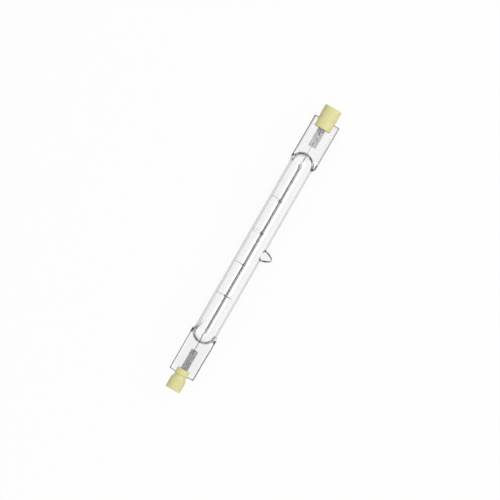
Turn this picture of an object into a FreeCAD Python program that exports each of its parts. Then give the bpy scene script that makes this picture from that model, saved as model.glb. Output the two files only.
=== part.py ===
import FreeCAD, Part
import os
import Sketcher

# A double-ended linear halogen lamp: a quartz tube pinched flat at both ends, a straight coiled
# filament on four ring supports, foil seals in the pinches and a slotted ceramic cap on each end.
#
# Millimetres. Every piece is drawn in the lamp's own frame and then placed by one placement.
# In the lamp's frame X runs along the axis from the middle of the glass, the flat pinches lie in
# the XY plane and the exhaust tip points along -Y. Each end is drawn with X outwards; the left
# end is the same drawing turned half round Z.
# The lamp then lies on its tube and on the end of the exhaust tip, with Z up and z = 0 below it.

DIMENSIONS = {
    # quartz tube
    "tube_radius": 5.45,
    "tube_wall": 0.93,
    "dome_start": 42.3,
    # flat pinches, which grow out of the tube's wall
    "pinch_half_thick": 1.5,
    "pinch_rim_radius": 1.1,
    "pinch_corner_radius": 1.4,
    "pinch_root_inset": 0.3,
    "pinch_shoulder_length": 3.6,
    "pinch_tip_side_left": 6.05,
    "pinch_far_side_left": 5.95,
    "pinch_tip_side_right": 6.55,
    "pinch_far_side_right": 5.8,
    "pinch_length_left": 21.3,
    "pinch_length_right": 22.1,
    # exhaust tip, heights from the tube's outside
    "tip_along": -0.85,
    "tip_root_depth": 1.1,
    "tip_base_height": 0.15,
    "tip_base_radius": 2.7,
    "tip_shoulder_radius": 0.66,
    "tip_end_radius": 0.75,
    "tip_height": 4.15,
    "tip_bore_radius": 1.5,
    "tip_bore_end_radius": 0.3,
    "tip_bore_height": 1.95,
    # filament and its leads
    "filament_radius": 0.475,
    "filament_margin_left": 0.2,
    "filament_margin_right": 0.1,
    "sleeve_wall": 0.225,
    "sleeve_length": 2.2,
    "lead_radius": 0.225,
    "lead_in_coil": 3.0,
    # ring supports
    "support_1": -24.5,
    "support_2": -8.4,
    "support_3": 7.0,
    "support_4": 23.9,
    "support_wire_radius": 0.11,
    "support_hub_wall": 0.22,
    "support_hub_length": 0.8,
    "support_ring_sides": 28,
    # foils and welds
    "foil_thick": 0.1,
    "foil_half_width_left": 1.65,
    "foil_half_width_right": 1.77,
    "foil_from_dome_left": 9.2,
    "foil_from_dome_right": 9.0,
    "foil_outer_margin": 2.0,
    "weld_length": 1.9,
    "weld_bite": 0.04,
    "outer_lead_radius": 0.375,
    "outer_lead_in_pinch_left": 6.4,
    "outer_lead_in_pinch_right": 7.2,
    # ceramic caps, lengths from the end of the pinch
    "jaw_grip_left": 2.3,
    "jaw_grip_right": 4.1,
    "jaw_radius_left": 3.15,
    "jaw_radius_right": 4.1,
    "neck_start": 0.2,
    "neck_end_left": 1.9,
    "neck_end_right": 0.9,
    "neck_radius_left": 2.8,
    "neck_radius_right": 3.84,
    "barrel_start_left": 2.4,
    "barrel_start_right": 1.2,
    "barrel_radius_left": 3.52,
    "barrel_radius_right": 4.035,
    "cap_beyond_left": 7.7,
    "cap_beyond_right": 6.3,
    "cap_edge": 0.35,
    "cap_bore_radius": 1.1,
    "recess_radius": 2.0,
    "recess_depth": 1.6,
    # contacts and cement
    "contact_radius": 1.5,
    "contact_thick": 0.6,
    "cement_thick": 0.25,
    "cement_inset": 0.2,
    "cement_side_inset": 0.8,
}

doc = FreeCAD.newDocument("linear_halogen_lamp")
sheet = doc.addObject("Spreadsheet::Sheet", "dims")
for row, (alias, number) in enumerate(DIMENSIONS.items(), start=1):
    sheet.set(f"A{row}", alias)
    sheet.set(f"B{row}", str(number))
    sheet.setAlias(f"B{row}", alias)
doc.recompute()


class Length:
    """A size that carries its number and the formula over the sheet that gives it."""

    def __init__(self, number, formula):
        self.number = float(number)
        self.formula = formula

    def _join(self, other, sign, swap=False):
        other = other if isinstance(other, Length) else Length(other, str(other))
        first, last = (other, self) if swap else (self, other)
        results = {
            "+": lambda p, q: p + q,
            "-": lambda p, q: p - q,
            "*": lambda p, q: p * q,
            "/": lambda p, q: p / q,
        }
        number = results[sign](first.number, last.number)
        return Length(number, f"({first.formula} {sign} {last.formula})")

    def __add__(self, other):
        return self._join(other, "+")

    def __radd__(self, other):
        return self._join(other, "+", swap=True)

    def __sub__(self, other):
        return self._join(other, "-")

    def __rsub__(self, other):
        return self._join(other, "-", swap=True)

    def __mul__(self, other):
        return self._join(other, "*")

    def __rmul__(self, other):
        return self._join(other, "*", swap=True)

    def __truediv__(self, other):
        return self._join(other, "/")

    def __neg__(self):
        return Length(-self.number, f"(0 - {self.formula})")


def size(alias):
    """The named cell of the sheet, as a Length."""
    return Length(DIMENSIONS[alias], f"dims.{alias}")


ZERO = Length(0, "0")
tube_radius = size("tube_radius")
bore_radius = tube_radius - size("tube_wall")
dome_start = size("dome_start")
half_plate = size("pinch_half_thick")
pinch_root = dome_start + size("pinch_root_inset")
pinch_shoulder = pinch_root + size("pinch_shoulder_length")
tip_reach = tube_radius + size("tip_height")
X_AXIS = "vector(1; 0; 0)"
Y_AXIS = "vector(0; 1; 0)"
Z_AXIS = "vector(0; 0; 1)"


def bind(obj, **sizes):
    """Bind each named property of an object to its formula over the sheet."""
    for prop, length in sizes.items():
        obj.setExpression(prop, length.formula)


def move(x=ZERO, y=ZERO, z=ZERO, axis=Z_AXIS, degrees="0"):
    """The formula of a placement: a turn about an axis, then a shift."""
    return (
        f"placement(vector({x.formula}; {y.formula}; {z.formula}); "
        f"rotation({axis}; {degrees}))"
    )


# The roll about the axis that brings the end of the exhaust tip down to the tube's own level.
tip_centre = tip_reach - size("tip_end_radius")
roll = f"asin(({(tube_radius - size('tip_end_radius')).formula}) / {tip_centre.formula})"
rim_across = size("pinch_far_side_left") - size("pinch_rim_radius")
rim_above = half_plate - size("pinch_rim_radius")
end_difference = (
    size("pinch_length_left")
    + size("cap_beyond_left")
    - size("pinch_length_right")
    - size("cap_beyond_right")
)
lamp_x = end_difference / 2
lamp_y = (
    f"(({tip_centre.formula} - {rim_across.formula}) * cos({roll}) "
    f"- {rim_above.formula} * sin({roll}) "
    f"+ dims.tip_end_radius - dims.pinch_rim_radius) / 2"
)
lamp = doc.addObject("PartDesign::Body", "glass_form")
lamp.setExpression(
    "Placement",
    f"placement(vector({lamp_x.formula}; {lamp_y}; dims.tube_radius); rotation({X_AXIS}; {roll}))",
)
LAMP = "glass_form.Placement"
ENDS = {
    "left": f"{LAMP} * {move(degrees='180')}",
    "right": LAMP,
}


def place(obj, frame, shift=None):
    """Put an object into the lamp's frame or an end's frame, shifted and turned within it."""
    obj.setExpression("Placement", f"{frame} * {shift}" if shift else frame)
    return obj


def sketch(body, name, role, corners):
    """A closed outline on one of the body's own origin planes.

    Each corner is (x, y), reached by a straight edge, or (x, y, radius, side), reached by an
    arc that bulges to its right (side 1, anticlockwise) or its left (side -1, clockwise).
    Every corner is dimensioned from the origin and every arc by its radius.
    """
    drawing = body.newObject("Sketcher::SketchObject", name)
    plane = [o for o in body.Origin.OriginFeatures if o.Role == role][0]
    drawing.AttachmentSupport = [(plane, "")]
    drawing.MapMode = "FlatFace"
    tips, arcs = [], []
    for index, corner in enumerate(corners):
        before = corners[index - 1]
        p = FreeCAD.Vector(before[0].number, before[1].number, 0)
        q = FreeCAD.Vector(corner[0].number, corner[1].number, 0)
        if len(corner) == 2:
            drawing.addGeometry(Part.LineSegment(p, q), False)
            tips.append((1, 2))
            continue
        radius, side = corner[2], corner[3]
        half = (q - p) * 0.5
        across = FreeCAD.Vector(-half.y, half.x, 0).normalize() * side
        rise = max(radius.number**2 - half.Length**2, 0) ** 0.5
        centre = p + half + across * rise
        bulge = centre - across * radius.number
        drawing.addGeometry(Part.Arc(p, bulge, q), False)
        tips.append((1, 2) if side > 0 else (2, 1))
        arcs.append((index, radius))
    for index in range(len(corners)):
        following = (index + 1) % len(corners)
        drawing.addConstraint(
            Sketcher.Constraint("Coincident", index, tips[index][1], following, tips[following][0])
        )
    for index, corner in enumerate(corners):
        end = tips[index][1]
        for word, axis, length in (("DistanceX", -2, corner[0]), ("DistanceY", -1, corner[1])):
            if abs(length.number) < 1e-9:
                drawing.addConstraint(Sketcher.Constraint("PointOnObject", index, end, axis))
                continue
            ahead = length.number > 0
            pair = (-1, 1, index, end) if ahead else (index, end, -1, 1)
            rule = Sketcher.Constraint(word, *pair, abs(length.number))
            number = drawing.addConstraint(rule)
            formula = length.formula if ahead else (-length).formula
            drawing.setExpression(f"Constraints[{number}]", formula)
    for index, radius in arcs:
        number = drawing.addConstraint(Sketcher.Constraint("Radius", index, radius.number))
        drawing.setExpression(f"Constraints[{number}]", radius.formula)
    return drawing


def revolve(body, name, drawing, axis="H_Axis", kind="Revolution"):
    """A full turn of an outline about its sketch's horizontal or vertical axis."""
    feature = body.newObject(f"PartDesign::{kind}", name)
    feature.Profile = drawing
    feature.ReferenceAxis = (drawing, [axis])
    feature.Angle = 360
    doc.recompute()
    return feature


def blend(body, name, base, radius, wanted):
    """A fillet on every edge of the base whose points all satisfy the test."""
    feature = body.newObject("PartDesign::Fillet", name)
    edges = [
        f"Edge{number}"
        for number, edge in enumerate(base.Shape.Edges, start=1)
        if not edge.Degenerated and all(wanted(point) for point in edge.discretize(7))
    ]
    if not edges:
        raise RuntimeError(f"{name}: no edge found to round")
    feature.Base = (base, edges)
    bind(feature, Radius=radius)
    doc.recompute()
    return feature


def bar(name, radius, length, frame, shift):
    """A round bar along X."""
    rod = doc.addObject("Part::Cylinder", name)
    bind(rod, Radius=radius, Height=length)
    x, y, z = shift
    return place(rod, frame, move(x, y, z, axis=Y_AXIS, degrees="90"))


def cut(name, base, tool):
    result = doc.addObject("Part::Cut", name)
    result.Base = base
    result.Tool = tool
    return result


def fuse(name, pieces):
    result = doc.addObject("Part::MultiFuse", name)
    result.Shapes = pieces
    return result


# The glass, outside: one flat plate, waisted so that its middle hides in the tube's wall, gives
# both pinches; the tube closed by a half round at each end goes over its middle.


def pinch_outline(side):
    """The outline of one pinch seen from above, anticlockwise, its shoulders slanting in to the root.

    The pinch reaches a little further on the exhaust tip's side of the axis than on the far side.
    The left one is drawn turned, so that its tip side is the upper one here.
    """
    tip_side, far_side = size(f"pinch_tip_side_{side}"), size(f"pinch_far_side_{side}")
    low, high = (tip_side, far_side) if side == "right" else (far_side, tip_side)
    end = dome_start + size(f"pinch_length_{side}")
    corner = size("pinch_corner_radius")
    root_half = tube_radius - size("pinch_root_inset")
    return [
        (pinch_root, -root_half),
        (pinch_shoulder, -low),
        (end - corner, -low),
        (end, -(low - corner), corner, 1),
        (end, high - corner),
        (end - corner, high, corner, 1),
        (pinch_shoulder, high),
        (pinch_root, root_half),
    ]


def turned(corners):
    """The same outline turned half round the origin."""
    return [(-corner[0], -corner[1]) + tuple(corner[2:]) for corner in corners]


drawing = sketch(lamp, "pinch_outline", "XY_Plane", pinch_outline("right") + turned(pinch_outline("left")))
plate = lamp.newObject("PartDesign::Pad", "pinches")
plate.Profile = drawing
plate.SideType = "Symmetric"
bind(plate, Length=half_plate * 2)
doc.recompute()



def on_plate_face(point):
    return abs(abs(point.z) - half_plate.number) < 1e-4


blend(lamp, "pinch_rims", plate, size("pinch_rim_radius"), on_plate_face)

tube_end = dome_start + tube_radius
drawing = sketch(lamp, "tube_outline", "XY_Plane", [
    (tube_end, ZERO),
    (dome_start, tube_radius, tube_radius, 1),
    (-dome_start, tube_radius),
    (-tube_end, ZERO, tube_radius, 1),
])
revolve(lamp, "tube", drawing)

# The exhaust tip: a blunt cone out of the tube's side, drawn about its own axis.
end_rise = f"sqrt(dims.tip_end_radius ^ 2 - dims.tip_shoulder_radius ^ 2)"
shoulder_rise = (DIMENSIONS["tip_end_radius"] ** 2 - DIMENSIONS["tip_shoulder_radius"] ** 2) ** 0.5
shoulder_reach = tip_centre + Length(shoulder_rise, end_rise)
tip_root = tube_radius - size("tip_root_depth")
drawing = sketch(lamp, "tip_outline", "XY_Plane", [
    (ZERO, -tip_root),
    (ZERO, -tip_reach),
    (size("tip_shoulder_radius"), -shoulder_reach, size("tip_end_radius"), 1),
    (size("tip_base_radius"), -(tube_radius + size("tip_base_height"))),
    (size("tip_base_radius"), -tip_root),
])
drawing.setExpression("AttachmentOffset.Base.x", "dims.tip_along")
revolve(lamp, "exhaust_tip", drawing, axis="V_Axis")


# The sealed space inside: the bore with a half round end each way, and the hollow of the tip.
hollow = place(doc.addObject("PartDesign::Body", "hollow_form"), LAMP)
hollow_end = dome_start + bore_radius
drawing = sketch(hollow, "bore_outline", "XY_Plane", [
    (hollow_end, ZERO),
    (dome_start, bore_radius, bore_radius, 1),
    (-dome_start, bore_radius),
    (-hollow_end, ZERO, bore_radius, 1),
])
revolve(hollow, "bore", drawing)
tip_bore_reach = tube_radius + size("tip_bore_height")
drawing = sketch(hollow, "tip_bore_outline", "XY_Plane", [
    (ZERO, -bore_radius / 2),
    (ZERO, -tip_bore_reach),
    (size("tip_bore_end_radius"), -tip_bore_reach),
    (size("tip_bore_radius"), -bore_radius),
    (size("tip_bore_radius"), -bore_radius / 2),
])
drawing.setExpression("AttachmentOffset.Base.x", "dims.tip_along")
revolve(hollow, "tip_bore", drawing, axis="V_Axis")

# The filament: the envelope of its close coil, as long as the coil and as wide as its turns. Its
# bore is filled at each end by the lead it is wound over.
filament_end = {side: dome_start - size(f"filament_margin_{side}") for side in ENDS}
filament_length = filament_end["left"] + filament_end["right"]
filament_start = (-filament_end["left"], ZERO, ZERO)
coil_outside = bar("coil_outside", size("filament_radius"), filament_length, LAMP, filament_start)
coil_inside = bar("coil_inside", size("lead_radius"), filament_length, LAMP, filament_start)
filament = cut("filament", coil_outside, coil_inside)
nodes = [filament]

# Four ring supports: a few close turns gripping the coil, a spoke and a ring against the bore.
for number in (1, 2, 3, 4):
    name = f"filament_support_{number}"
    wire = size("support_wire_radius")
    ring_radius = bore_radius - wire
    hub_radius = size("filament_radius") + size("support_hub_wall")
    along = size(f"support_{number}")
    turn = f"{LAMP} * {move(x=along, axis=X_AXIS, degrees=str(90 * number + 20))}"
    hub_start = (-wire, ZERO, ZERO)
    hoops = []
    for part, hoop_radius in (("outside", bore_radius), ("inside", bore_radius - wire * 2)):
        hoop = doc.addObject("Part::Prism", f"{name}_ring_{part}")
        bind(hoop, Polygon=size("support_ring_sides"), Circumradius=hoop_radius, Height=wire * 2)
        hoops.append(place(hoop, turn, move(-wire, axis=Y_AXIS, degrees="90")))
    ring = cut(f"{name}_ring", *hoops)
    spoke = doc.addObject("Part::Box", f"{name}_spoke")
    spoke_length = ring_radius - hub_radius + size("support_hub_wall") / 2
    bind(spoke, Length=wire * 2, Width=wire * 2, Height=spoke_length)
    place(spoke, turn, move(-wire, -wire, -ring_radius))
    hub_outside = bar(f"{name}_turns", hub_radius, size("support_hub_length"), turn, hub_start)
    hub_inside = bar(f"{name}_grip", size("filament_radius"), size("support_hub_length"), turn, hub_start)
    hub = cut(f"{name}_hub", hub_outside, hub_inside)
    nodes.append(fuse(name, [hub, spoke, ring]))

embedded = [hollow]
for side, frame in ENDS.items():
    pinch_end = dome_start + size(f"pinch_length_{side}")
    foil_inner = dome_start + size(f"foil_from_dome_{side}")
    foil_half = size(f"foil_half_width_{side}")
    cap_inner = pinch_end - size(f"jaw_grip_{side}")
    cap_outer = pinch_end + size(f"cap_beyond_{side}")

    # The foil, and the lead wires welded on its upper face, each flattened a little by the weld.
    foil_top = size("weld_bite") - size("lead_radius")
    foil = doc.addObject("Part::Box", f"foil_{side}")
    bind(
        foil,
        Length=pinch_end - size("foil_outer_margin") - foil_inner,
        Width=foil_half * 2,
        Height=size("foil_thick"),
    )
    place(foil, frame, move(foil_inner, -foil_half, foil_top - size("foil_thick")))

    lead_start = filament_end[side] - size("lead_in_coil")
    lead_length = foil_inner + size("weld_length") - lead_start
    wire = bar(f"inner_wire_{side}", size("lead_radius"), lead_length, frame, (lead_start, ZERO, ZERO))
    inner_lead = cut(f"inner_lead_{side}", wire, foil)

    seat = cap_outer - size("recess_depth") - size("contact_thick")
    outer_start = pinch_end - size(f"outer_lead_in_pinch_{side}")
    outer_length = seat - outer_start
    outer_height = foil_top + size("outer_lead_radius") - size("weld_bite")
    start = (outer_start, ZERO, outer_height)
    wire = bar(f"outer_wire_{side}", size("outer_lead_radius"), outer_length, frame, start)
    outer_lead = cut(f"outer_lead_{side}", wire, foil)
    embedded += [inner_lead, foil, outer_lead]

    # The sleeve clamped over the coil's end.
    sleeve_start = (filament_end[side] - size("sleeve_length"), ZERO, ZERO)
    sleeve_radius = size("filament_radius") + size("sleeve_wall")
    sleeve_outside = bar(
        f"sleeve_outside_{side}", sleeve_radius, size("sleeve_length"), frame, sleeve_start
    )
    sleeve_inside = bar(
        f"sleeve_inside_{side}", size("filament_radius"), size("sleeve_length"), frame, sleeve_start
    )
    sleeve = cut(f"end_sleeve_{side}", sleeve_outside, sleeve_inside)

    # The ceramic cap: jaws over the pinch, a neck, and a barrel with the contact's recess.
    edge = size("cap_edge")
    jaw, neck = size(f"jaw_radius_{side}"), size(f"neck_radius_{side}")
    barrel, recess = size(f"barrel_radius_{side}"), size("recess_radius")
    stem, head = size("cap_bore_radius"), size("contact_radius")
    cap_form = place(doc.addObject("PartDesign::Body", f"cap_form_{side}"), frame)
    drawing = sketch(cap_form, f"cap_outline_{side}", "XY_Plane", [
        (cap_inner, stem),
        (seat, stem),
        (seat, head),
        (cap_outer - size("recess_depth"), head),
        (cap_outer - size("recess_depth"), recess),
        (cap_outer, recess),
        (cap_outer, barrel - edge),
        (cap_outer - edge, barrel),
        (pinch_end + size(f"barrel_start_{side}"), barrel),
        (pinch_end + size(f"neck_end_{side}"), neck),
        (pinch_end + size("neck_start"), neck),
        (pinch_end + size("neck_start"), jaw),
        (cap_inner + edge, jaw),
        (cap_inner, jaw - edge),
    ])
    revolve(cap_form, f"cap_turned_{side}", drawing)
    slot = doc.addObject("Part::Box", f"slot_{side}")
    slot_half = half_plate + size("cement_thick")
    slot_end = pinch_end + size("cement_thick")
    bind(slot, Length=slot_end - cap_inner + 1, Width=jaw * 2 + 2, Height=slot_half * 2)
    place(slot, frame, move(cap_inner - 1, -jaw - 1, -slot_half))
    cap = cut(f"cap_{side}", cap_form, slot)

    # The contact: a button at the bottom of the recess, with the lead welded to its inner face.
    contact = bar(f"contact_{side}", head, size("contact_thick"), frame, (seat, ZERO, ZERO))

    # The cement: it fills the slot round the pinch, and the bore behind it up to the contact.
    inset = size("cement_inset")
    fill = doc.addObject("Part::Box", f"slot_fill_{side}")
    fill_half = neck - size("cement_side_inset")
    bind(fill, Length=slot_end - cap_inner - inset, Width=fill_half * 2, Height=slot_half * 2)
    place(fill, frame, move(cap_inner + inset, -fill_half, -slot_half))
    bore_fill = bar(
        f"bore_fill_{side}", stem, seat - pinch_end, frame, (pinch_end, ZERO, ZERO)
    )
    cement_form = fuse(f"cement_form_{side}", [fill, bore_fill])
    cement = cut(f"cement_{side}", cement_form, fuse(f"cement_holes_{side}", [lamp, outer_lead]))
    nodes += [inner_lead, foil, outer_lead, sleeve, cap, contact, cement]

envelope = cut("envelope", lamp, fuse("embedded_form", embedded))
nodes.insert(0, envelope)
doc.recompute()

for obj in doc.Objects:
    if "Invalid" in obj.State or "Error" in obj.State:
        raise RuntimeError(f"{obj.Name}: {obj.State}")

os.makedirs("parts", exist_ok=True)
for node in nodes:
    node.Label = node.Name
    if node.Shape.isNull() or not node.Shape.isValid() or len(node.Shape.Solids) != 1:
        raise RuntimeError(f"{node.Name}: not one valid solid")
for node in nodes:
    node.Shape.exportStep(f"parts/{node.Label}.step")
    box = node.Shape.BoundBox
    print(
        f"{node.Label:22s} {node.Shape.Volume:9.3f} mm3  "
        f"x {box.XMin:7.2f} {box.XMax:7.2f}  y {box.YMin:6.2f} {box.YMax:6.2f}  "
        f"z {box.ZMin:6.2f} {box.ZMax:6.2f}"
    )
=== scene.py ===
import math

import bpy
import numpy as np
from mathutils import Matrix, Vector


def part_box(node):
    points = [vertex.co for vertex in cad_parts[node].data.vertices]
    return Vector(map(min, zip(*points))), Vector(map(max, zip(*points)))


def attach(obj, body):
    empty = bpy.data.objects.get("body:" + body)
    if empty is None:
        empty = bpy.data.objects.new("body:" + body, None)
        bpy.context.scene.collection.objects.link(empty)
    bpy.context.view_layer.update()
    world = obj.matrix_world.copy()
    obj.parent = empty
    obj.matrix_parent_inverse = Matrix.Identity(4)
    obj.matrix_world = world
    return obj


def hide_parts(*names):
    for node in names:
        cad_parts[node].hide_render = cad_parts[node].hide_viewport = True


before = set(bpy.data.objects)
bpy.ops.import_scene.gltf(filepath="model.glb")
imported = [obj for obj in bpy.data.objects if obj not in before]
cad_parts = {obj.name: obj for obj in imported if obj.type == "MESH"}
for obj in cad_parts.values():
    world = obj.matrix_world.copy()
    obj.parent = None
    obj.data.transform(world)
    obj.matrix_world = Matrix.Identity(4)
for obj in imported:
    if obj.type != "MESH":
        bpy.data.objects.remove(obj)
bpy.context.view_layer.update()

# %% [markdown]
# A linear halogen lamp
#
# The lamp is a sealed quartz tube with a tungsten coil on its axis. At each end the tube is
# pressed flat round a metal foil, and a ceramic cap is cemented over it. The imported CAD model
# stands here as the frame. What light passes through, and what is finer than the CAD, gets a
# closer shape, worked out with numpy, because clear glass shows each uneven facet that modelling
# by hand would leave.

TUBE_RADIUS = 5.45
BORE_RADIUS = 4.52
TIP_ALONG = -0.85
TIP_REACH = 9.6
TIP_END_RADIUS = 0.75
GLASS_SHIFT = 0.3

print("tube", TUBE_RADIUS * 2, "mm across, wall", round(TUBE_RADIUS - BORE_RADIUS, 2), "mm")

# %% [markdown]
# Two frames
#
# Shapes are written in the lamp's own frame, in millimetres: x along the axis from the middle of
# the glass, the flat ends in the xy plane, the exhaust tip along -y. The lamp rolls until its tip
# touches the table. Tube and tip are both round, so the sine of the roll is the difference of
# their radii over the distance of their centres. A contact's box stands on the axis and tells
# where it is.

# %% From the lamp's frame to the row's
ROLL = math.asin((TUBE_RADIUS - TIP_END_RADIUS) / (TIP_REACH - TIP_END_RADIUS))
contact_low, contact_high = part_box("contact_left")
AXIS_Y = (contact_low[1] + contact_high[1]) / 2
AXIS_Z = (contact_low[2] + contact_high[2]) / 2


def to_row(points):
    """Lamp frame in millimetres to row frame in metres: y' = y cos(roll) - z sin(roll),
    z' = y sin(roll) + z cos(roll), and a shift to the axis."""
    x, y, z = np.moveaxis(np.asarray(points, float), -1, 0)
    rolled_y = y * math.cos(ROLL) - z * math.sin(ROLL)
    rolled_z = y * math.sin(ROLL) + z * math.cos(ROLL)
    return np.stack([(x + GLASS_SHIFT) / 1000, AXIS_Y + rolled_y / 1000, AXIS_Z + rolled_z / 1000], -1)


print("roll in degrees", round(math.degrees(ROLL), 2))
print("axis at y", round(AXIS_Y * 1000, 3), "z", round(AXIS_Z * 1000, 3), "mm")

# %% [markdown]
# Faces of a grid
#
# A surface of two parameters is a grid of points, and its faces follow from row and column
# numbers. Blender has primitives for a plane or a tube, but arrays of indices fit any grid.

# %% Quads, end caps and volume


def grid_faces(rows, columns, wrap_rows=False, wrap_columns=True, flip=False, start=0):
    """Quads of a grid stored row after row: (i, j), (i+1, j), (i+1, j+1), (i, j+1). Either
    direction may close on itself."""
    i = np.arange(rows if wrap_rows else rows - 1)
    j = np.arange(columns if wrap_columns else columns - 1)
    i, j = np.meshgrid(i, j, indexing="ij")
    i2, j2 = (i + 1) % rows, (j + 1) % columns
    corners = [i * columns + j, i2 * columns + j, i2 * columns + j2, i * columns + j2]
    quads = np.stack(corners, axis=-1).reshape(-1, 4) + start
    return quads[:, ::-1] if flip else quads


def fan_faces(centre, ring, flip=False):
    """Triangles from one point to each pair of neighbours of a closed ring."""
    ring = np.asarray(ring)
    triangles = np.stack([np.full(len(ring), centre), ring, np.roll(ring, -1)], axis=-1)
    return triangles[:, ::-1] if flip else triangles


def volume(points, faces):
    """The volume inside a closed mesh: the sum, over its triangles, of a . (b x c) / 6."""
    total = 0.0
    for group in faces:
        for corner in range(1, group.shape[1] - 1):
            a, b, c = points[group[:, 0]], points[group[:, corner]], points[group[:, corner + 1]]
            total += np.einsum("ij,ij->", a, np.cross(b, c)) / 6
    return total


print("a grid of 3 by 4 points, closed round, has", len(grid_faces(3, 4)), "faces")

# %% [markdown]
# From arrays to a piece
#
# `foreach_set` copies whole arrays into a mesh, far quicker than vertices one by one. A closed
# mesh of negative volume is inside out, and light would bend the wrong way in it, so its faces
# are turned.

# %% A piece


def new_object(name, verts, faces, *materials):
    """An object from arrays: all corners of its faces in a row, and where each face starts."""
    loops = np.concatenate([group.reshape(-1) for group in faces]).astype(np.int32)
    counts = np.concatenate([np.full(len(group), group.shape[1]) for group in faces]).astype(np.int32)
    starts = np.concatenate([[0], np.cumsum(counts)[:-1]]).astype(np.int32)
    mesh = bpy.data.meshes.new(name)
    mesh.vertices.add(len(verts))
    mesh.vertices.foreach_set("co", verts.astype(np.float32).reshape(-1))
    mesh.loops.add(len(loops))
    mesh.loops.foreach_set("vertex_index", loops)
    mesh.polygons.add(len(counts))
    mesh.polygons.foreach_set("loop_start", starts)
    mesh.polygons.foreach_set("loop_total", counts)
    mesh.polygons.foreach_set("use_smooth", np.ones(len(counts), bool))
    mesh.update(calc_edges=True)
    mesh.validate()
    for material in materials:
        mesh.materials.append(material)
    obj = bpy.data.objects.new(name, mesh)
    bpy.context.scene.collection.objects.link(obj)
    return obj


def piece(name, shape, material, node, sharp_above=None):
    """A closed mesh that rides on the lamp and stands for a CAD node. Shape is points and faces.

    Edges are sharp above the angle sharp_above, in degrees, and none is where no angle is given.
    """
    points, faces = shape
    verts = to_row(points).reshape(-1, 3)
    if volume(verts, faces) < 0:
        faces = [group[:, ::-1] for group in faces]
    obj = new_object(name, verts, faces, material)
    if sharp_above is not None:
        obj.data.set_sharp_from_angle(angle=math.radians(sharp_above))
    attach(obj, "root")
    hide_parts(node)
    print(f"{name}: {len(verts)} points, {volume(verts, faces) * 1e9:.1f} cubic mm")
    return obj


# %% [markdown]
# Soft steps
#
# Molten glass leaves no sharp meeting, so two shapes are joined by a rounded maximum, where a
# boolean would leave a hard seam. A size that changes along the lamp changes by an S-shaped step.

# %% Steps and rounded meetings


def ease(x, low, high):
    """0 below low, 1 above high, and between them 3 t t - 2 t t t, t being the way across."""
    t = np.clip((x - low) / (high - low), 0, 1)
    return t * t * (3 - 2 * t)


def smooth_max(a, b, blend):
    """The larger of two fields. Where they differ by less than blend, h runs from 0 to 1, and
    the result is their mix by h, plus blend h (1 - h)."""
    h = np.clip(0.5 + 0.5 * (a - b) / blend, 0, 1)
    return b + (a - b) * h + blend * h * (1 - h)


print("two fields of 1, joined over 0.5, give", smooth_max(1.0, 1.0, 0.5))

# %% [markdown]
# Materials from nodes
#
# All finishes are procedural: a picture as a texture would need an unwrapped surface and would
# blur close up. One function makes a node and sets or links its inputs. Noise reads the object's
# own coordinates, so it stays put on the piece.

# %% Nodes, noise and steps


def fill_inputs(tree, node, inputs):
    """Link the inputs whose value is a socket, and set all others."""
    for name, value in inputs.items():
        if isinstance(value, bpy.types.NodeSocket):
            tree.links.new(value, node.inputs[name])
        else:
            node.inputs[name].default_value = value


def change(thing, **settings):
    """Set properties of a node, a modifier, a light or an object, and hand it back."""
    for name, value in settings.items():
        setattr(thing, name, value)
    return thing


def add_node(tree, kind, inputs, **settings):
    """The outputs of a new node with these settings and inputs."""
    node = change(tree.nodes.new("ShaderNode" + kind), **settings)
    fill_inputs(tree, node, inputs)
    return node.outputs


def new_material(name):
    """A material, its node tree and its Principled shader."""
    material = bpy.data.materials.new(name)
    material.use_nodes = True
    return material, material.node_tree, material.node_tree.nodes["Principled BSDF"]


def noise(tree, scale, detail=4.0, roughness=0.6):
    """Noise over the object's own coordinates, scale in features a metre."""
    place = add_node(tree, "TexCoord", {})["Object"]
    inputs = {"Vector": place, "Scale": scale, "Detail": detail, "Roughness": roughness}
    return add_node(tree, "TexNoise", inputs)["Fac"]


def two_tones(tree, fac, low, high):
    """A ramp from one colour to another, over the middle of what a noise gives."""
    colour = add_node(tree, "ValToRGB", {"Fac": fac})["Color"]
    for element, place, tone in zip(colour.node.color_ramp.elements, (0.3, 0.7), (low, high)):
        element.position = place
        element.color = (*tone, 1)
    return colour


def bump(tree, height, distance, strength):
    """Small relief in the shading, distance in metres."""
    inputs = {"Height": height, "Distance": distance, "Strength": strength}
    return add_node(tree, "Bump", inputs)["Normal"]


def multiply(tree, a, b):
    """The product of two numbers."""
    return add_node(tree, "Math", {0: a, 1: b}, operation="MULTIPLY")[0]


def blend_step(tree, value, low, high, out_low, out_high):
    """A smooth step from out_low to out_high, by 3 t t - 2 t t t, as value goes from low to high."""
    inputs = {"Value": value, "From Min": low, "From Max": high, "To Min": out_low, "To Max": out_high}
    return add_node(tree, "MapRange", inputs, interpolation_type="SMOOTHSTEP")["Result"]


def grey(tree, level):
    """One number as an equal red, green and blue."""
    return add_node(tree, "CombineColor", dict.fromkeys(("Red", "Green", "Blue"), level))["Color"]


print("node helpers ready")

# %% [markdown]
# Quartz
#
# Fused quartz is clear and bends light by 1.458. Over a white table a perfect ray tracer loses
# most of its edges, which real glass shows as grey lines, for the room has dark parts. Here that
# grey is painted shade in the quartz's colour. Shade painted where the camera sees it would slide
# when it moves, so it is tied to the surface, in four numbers that are kept for each point:
#
# - wall: painted shade on the round tube, greyer where it is seen at a grazing angle;
# - rim: painted shade on the thick edges of a pinch and the exhaust tip, greyer once they turn away;
# - marks: painted shade at fused knots and folds, along the arch and the pinches' edges, and on the
#   far wall of the tube, greyer from any side;
# - pressed faces: the flat faces that the jaws left, a little rougher, and darker by painted shade.

# %% The quartz
QUARTZ_BENDING = 1.458
CLEAR = 0.995
# Greys of painted shade: on the tube at grazing angles, on the rims, at the marks, on the pressed
# faces.
WALL_TONE, RIM_TONE, MARK_TONE = 0.5, 0.03, 0.05
PRESS_SHADE_LOSS, PRESS_ROUGHNESS = 0.19, 0.1

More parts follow.
